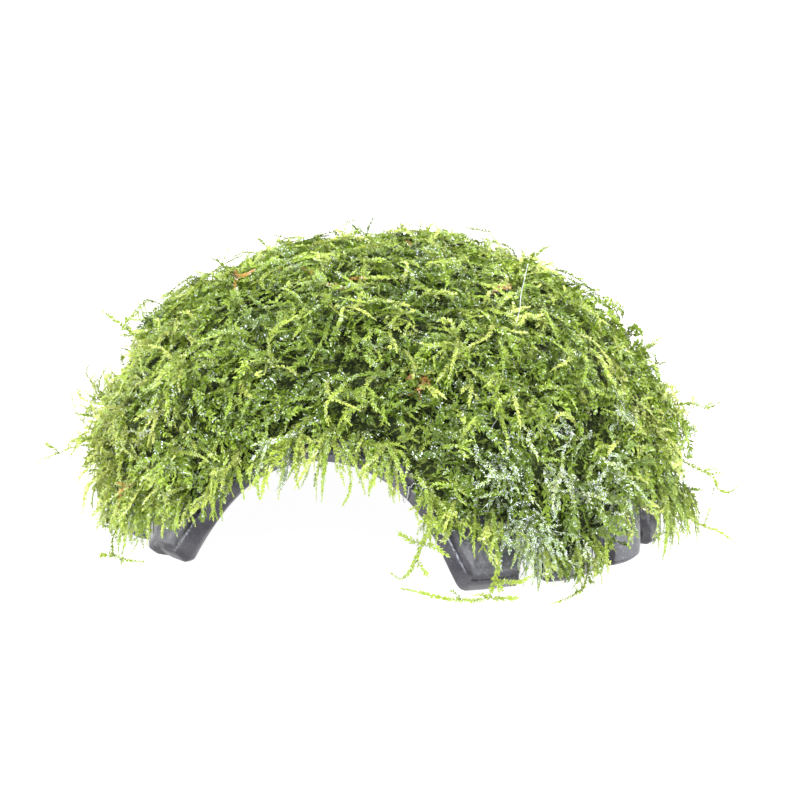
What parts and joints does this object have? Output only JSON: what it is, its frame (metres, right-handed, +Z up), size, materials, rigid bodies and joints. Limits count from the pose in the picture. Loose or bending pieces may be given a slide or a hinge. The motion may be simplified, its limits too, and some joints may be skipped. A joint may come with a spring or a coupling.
{
  "type": "java moss on a moulded half-shell cave",
  "caption": "Small aquarium cave: a fluted, dark grey half-shell dome with an arched mouth, covered by a thick mat of java moss that is tied on with nylon thread.",
  "frame": {"origin": "centre of the footprint on the surface that the feet stand on; the dome's axis passes within 0.5 mm of it", "axes": "+Z up; the arched mouth faces -Y; +X is the right-hand side as seen from the mouth"},
  "size_m": [0.1644, 0.1509, 0.0708],
  "materials": {
    "slate_moulding": "dark slate grey moulded resin, finely mottled, wet and glossy",
    "java_moss": "dense wet moss, mid green, dark in the gaps",
    "young_moss": "fresh shoots, yellow-green and slightly translucent at the tips",
    "nylon": "clear nylon monofilament"
  },
  "bodies": {
    "root": {"cave_shell": "slate_moulding", "moss_mat": "java_moss", "tie_thread": "nylon", "sprig_mouth": "young_moss", "sprig_brow": "young_moss", "sprig_foot": "young_moss", "sprig_left": "young_moss", "sprig_left_upper": "young_moss", "sprig_left_curl": "young_moss", "sprig_right": "young_moss", "sprig_right_low": "young_moss", "sprig_right_upper": "young_moss", "sprig_corner": "young_moss", "sprig_back_left": "young_moss", "sprig_back_right": "young_moss"}
  },
  "joints": []
}
